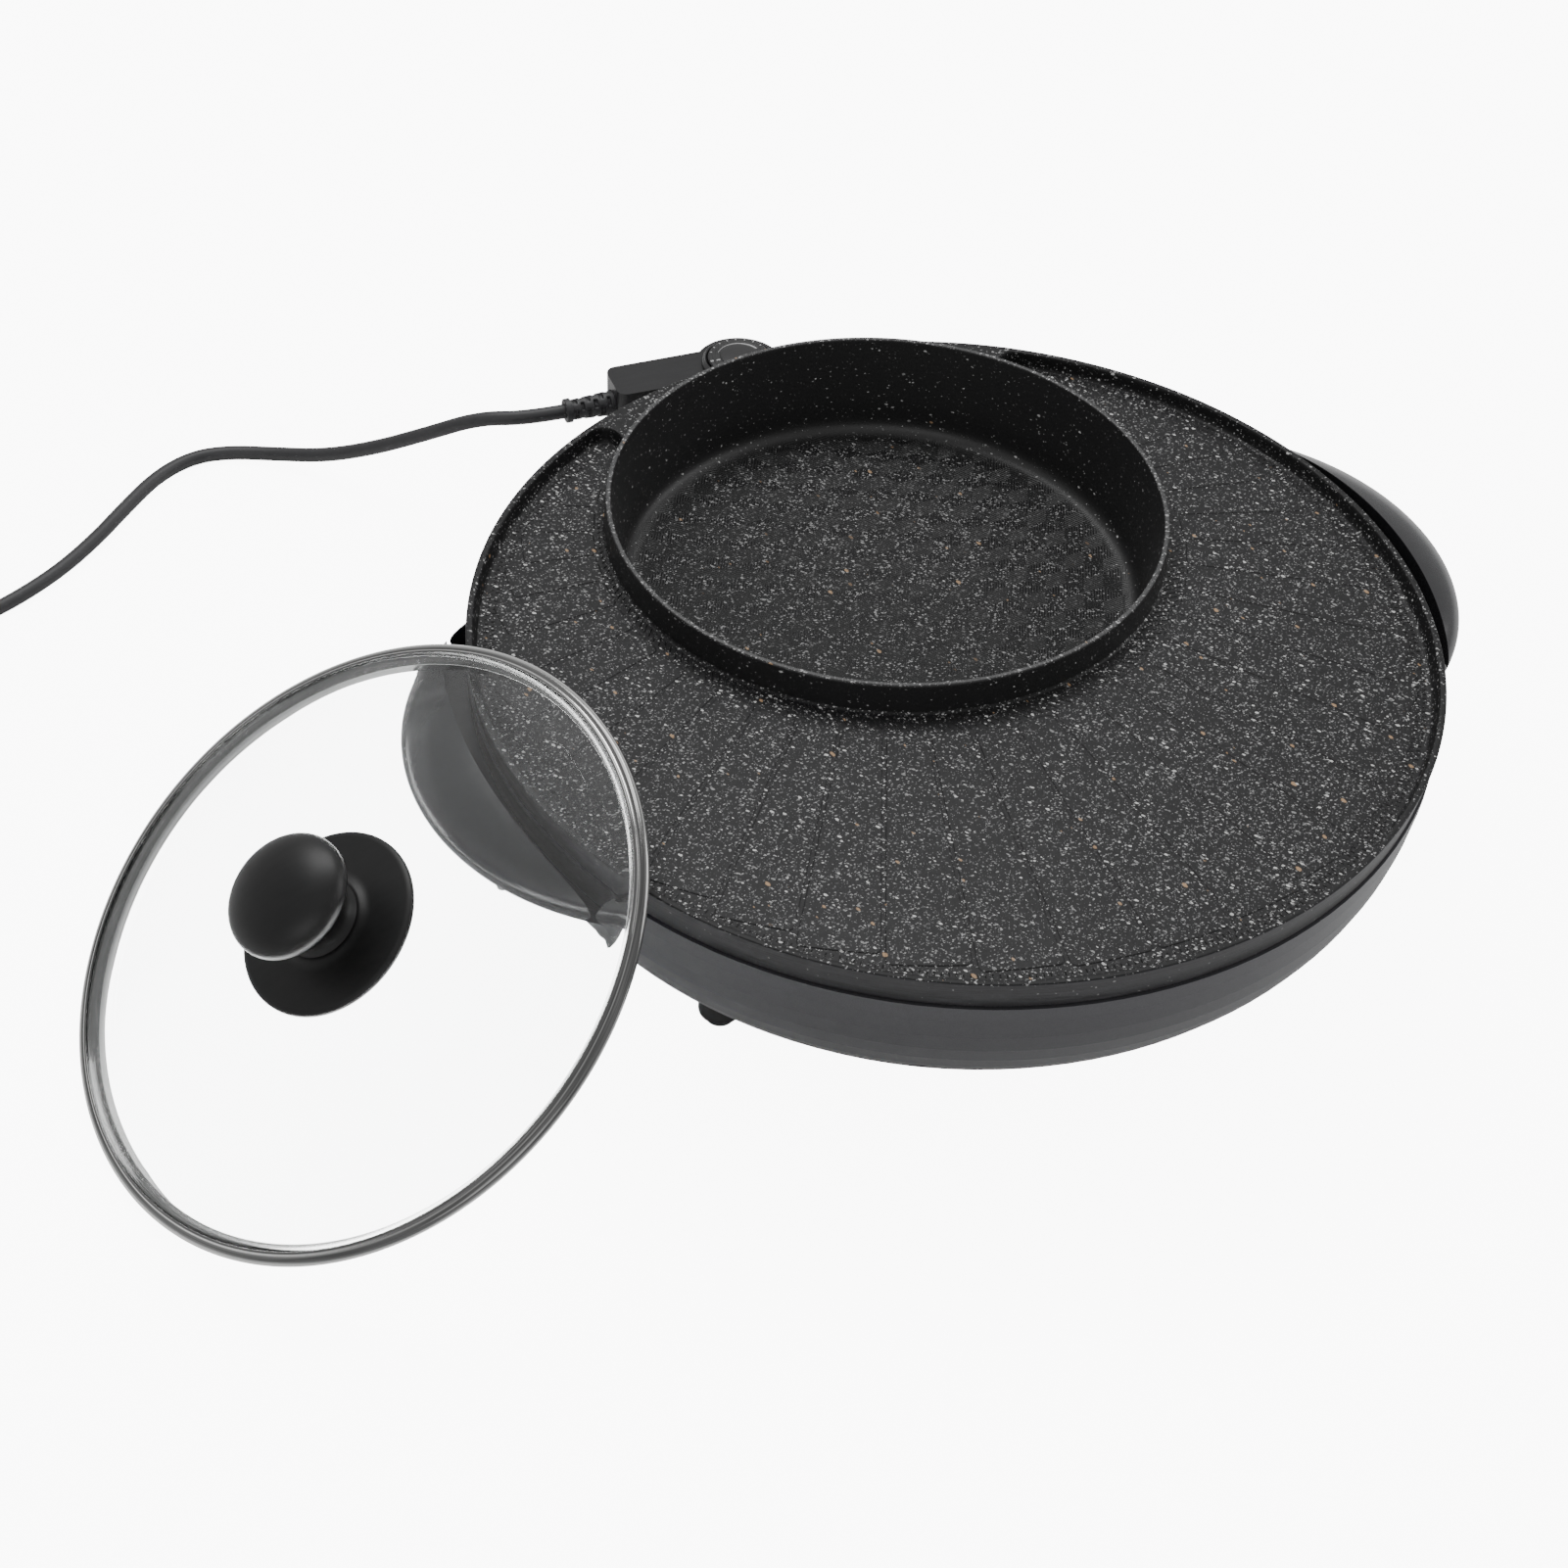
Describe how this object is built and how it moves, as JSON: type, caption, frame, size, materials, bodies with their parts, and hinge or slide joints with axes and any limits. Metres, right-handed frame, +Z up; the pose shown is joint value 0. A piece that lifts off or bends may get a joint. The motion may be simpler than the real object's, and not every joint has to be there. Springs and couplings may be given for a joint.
{
  "type": "electric griddle",
  "caption": "Round electric griddle with a deep pot set in its grill plate, side handles, feet, a plug-in dial thermostat with its lead, and a glass pot lid leaning on the left handle.",
  "frame": {"origin": "on the table under the grill plate's centre, midway between the four feet", "axes": "+X to the right handle, +Y to the thermostat socket at the back, +Z up"},
  "size_m": [0.7064, 0.575, 0.1395],
  "materials": {
    "stone_coat": "matte",
    "shell_paint": "satin",
    "dark_steel": "satin",
    "foot_plastic": "matte",
    "pad_rubber": "matte",
    "screw_steel": "satin",
    "reflector": "satin",
    "handle_gloss": "gloss",
    "control_plastic": "satin",
    "brass": "satin",
    "ceramic": "matte",
    "element": "satin",
    "dial_gloss": "gloss",
    "dial_plastic": "satin",
    "cord_rubber": "matte",
    "plug_plastic": "matte",
    "blade": "polished",
    "ring_steel": "polished",
    "clear_glass": "clear",
    "knob_plastic": "satin",
    "seal_rubber": "matte"
  },
  "bodies": {
    "base": {"griddle_plate": "stone_coat", "base_shell": "shell_paint", "bottom_cover": "dark_steel", "feet": "foot_plastic", "foot_pads": "pad_rubber", "foot_screws": "screw_steel", "plate_screws": "screw_steel", "cover_screws": "screw_steel", "heat_reflector": "reflector", "handle_left": "handle_gloss", "handle_right": "handle_gloss", "handle_cover_left": "handle_gloss", "handle_cover_right": "handle_gloss", "handle_screws": "screw_steel", "handle_joining_screws": "screw_steel", "socket_guard": "control_plastic", "socket_screws": "screw_steel", "terminal_pins": "brass", "terminal_block": "ceramic", "heater_pot": "element", "heater_grill": "element", "heater_clips": "screw_steel"},
    "thermostat": {"ctl_case_top": "control_plastic", "ctl_case_bottom": "control_plastic", "ctl_screws": "screw_steel", "ctl_nose": "control_plastic", "contact_sleeves": "brass", "probe": "element", "thermostat_switch": "ceramic", "dial_bezel": "dial_gloss", "strain_relief": "cord_rubber", "cord": "cord_rubber", "cord_coil": "cord_rubber", "cord_tail": "cord_rubber", "plug": "plug_plastic", "plug_blades": "blade"},
    "dial": {"dial": "dial_plastic", "dial_spindle": "screw_steel"},
    "lid": {"lid_ring": "ring_steel", "lid_glass": "clear_glass", "lid_knob_base": "knob_plastic", "lid_knob": "knob_plastic", "lid_screw": "screw_steel", "lid_seals": "seal_rubber"}
  },
  "joints": [
    {"name": "thermostat_unplug", "type": "slide", "parent": "base", "child": "thermostat", "axis": [0, 1, 0], "range_m": [0, 0.11]},
    {"name": "dial_turn", "type": "hinge", "parent": "thermostat", "child": "dial", "pos_m": [0, 0.257, 0.07], "axis": [0, 0, 1], "range_deg": [-270, 0]},
    {"name": "lid_lift", "type": "slide", "parent": "base", "child": "lid", "axis": [0, 0, 1], "range_m": [0, 0.15]}
  ]
}
